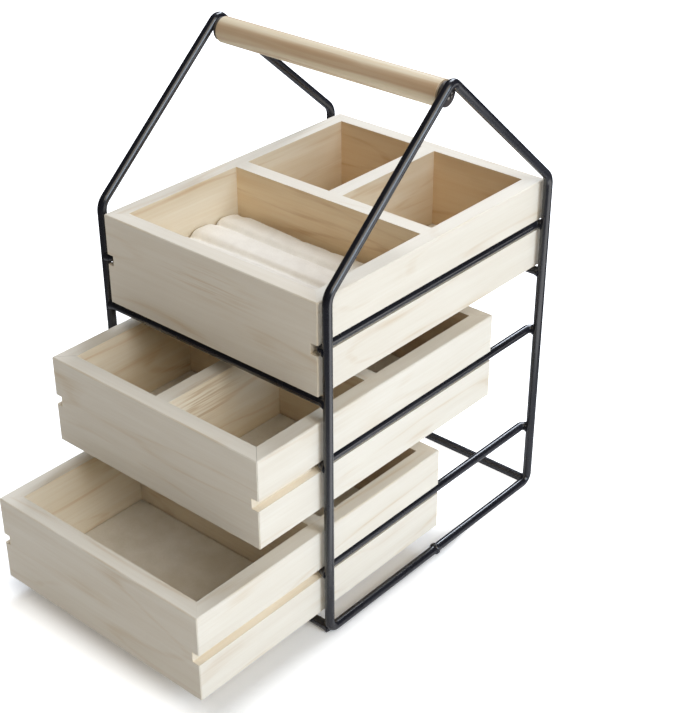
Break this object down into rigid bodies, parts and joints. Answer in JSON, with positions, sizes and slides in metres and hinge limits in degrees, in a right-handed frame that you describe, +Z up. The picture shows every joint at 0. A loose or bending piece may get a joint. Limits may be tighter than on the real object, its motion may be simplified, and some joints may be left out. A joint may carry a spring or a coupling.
{
  "type": "jewelry box",
  "caption": "House-shaped rod frame with a wooden carrying bar that holds stacked wooden jewelry trays sliding out on side rails, the top one with a ring pad.",
  "frame": {"origin": "on the floor, in the middle of the frame's four posts", "axes": "+X to the right seen from the front, +Y to the rear (drawers open towards -Y), +Z up"},
  "size_m": [0.1608, 0.27, 0.2783],
  "materials": {
    "rod_coat": "satin blue-black powder coat",
    "tray_wood": "whitewashed, matt",
    "grip_wood": "bare, sanded",
    "plate_steel": "dark grey, satin",
    "screw_steel": "bright",
    "felt": "ivory felt",
    "pad_velvet": "ivory velvet"
  },
  "bodies": {
    "frame": {"bottom_rail_left": "rod_coat", "bottom_rail_right": "rod_coat", "handle_grip": "grip_wood", "handle_plate_left": "plate_steel", "handle_plate_right": "plate_steel", "handle_screws": "screw_steel", "lower_front_crossbar": "rod_coat", "lower_rear_crossbar": "rod_coat", "middle_rail_left": "rod_coat", "middle_rail_right": "rod_coat", "side_frame_left": "rod_coat", "side_frame_right": "rod_coat", "top_rail_left": "rod_coat", "top_rail_right": "rod_coat", "upper_front_crossbar": "rod_coat", "upper_rear_crossbar": "rod_coat"},
    "top_tray": {"top_tray_cross_divider": "tray_wood", "top_tray_floor": "tray_wood", "top_tray_front_wall": "tray_wood", "top_tray_left_wall": "tray_wood", "top_tray_rear_divider": "tray_wood", "top_tray_rear_left_liner": "felt", "top_tray_rear_right_liner": "felt", "top_tray_rear_wall": "tray_wood", "top_tray_right_wall": "tray_wood", "top_tray_ring_pad": "pad_velvet"},
    "middle_drawer": {"middle_drawer_cross_divider": "tray_wood", "middle_drawer_floor": "tray_wood", "middle_drawer_front_divider": "tray_wood", "middle_drawer_front_left_liner": "felt", "middle_drawer_front_right_liner": "felt", "middle_drawer_front_wall": "tray_wood", "middle_drawer_left_wall": "tray_wood", "middle_drawer_rear_liner": "felt", "middle_drawer_rear_wall": "tray_wood", "middle_drawer_right_wall": "tray_wood"},
    "bottom_drawer": {"bottom_drawer_cross_divider": "tray_wood", "bottom_drawer_floor": "tray_wood", "bottom_drawer_front_liner": "felt", "bottom_drawer_front_wall": "tray_wood", "bottom_drawer_left_wall": "tray_wood", "bottom_drawer_rear_liner": "felt", "bottom_drawer_rear_wall": "tray_wood", "bottom_drawer_right_wall": "tray_wood"}
  },
  "joints": [
    {"name": "top_tray_slide", "type": "slide", "parent": "frame", "child": "top_tray", "axis": [0, -1, 0], "range_m": [0, 0.12]},
    {"name": "middle_drawer_slide", "type": "slide", "parent": "frame", "child": "middle_drawer", "axis": [0, -1, 0], "range_m": [-0.0425, 0.0775]},
    {"name": "bottom_drawer_slide", "type": "slide", "parent": "frame", "child": "bottom_drawer", "axis": [0, -1, 0], "range_m": [-0.086, 0.034]}
  ]
}
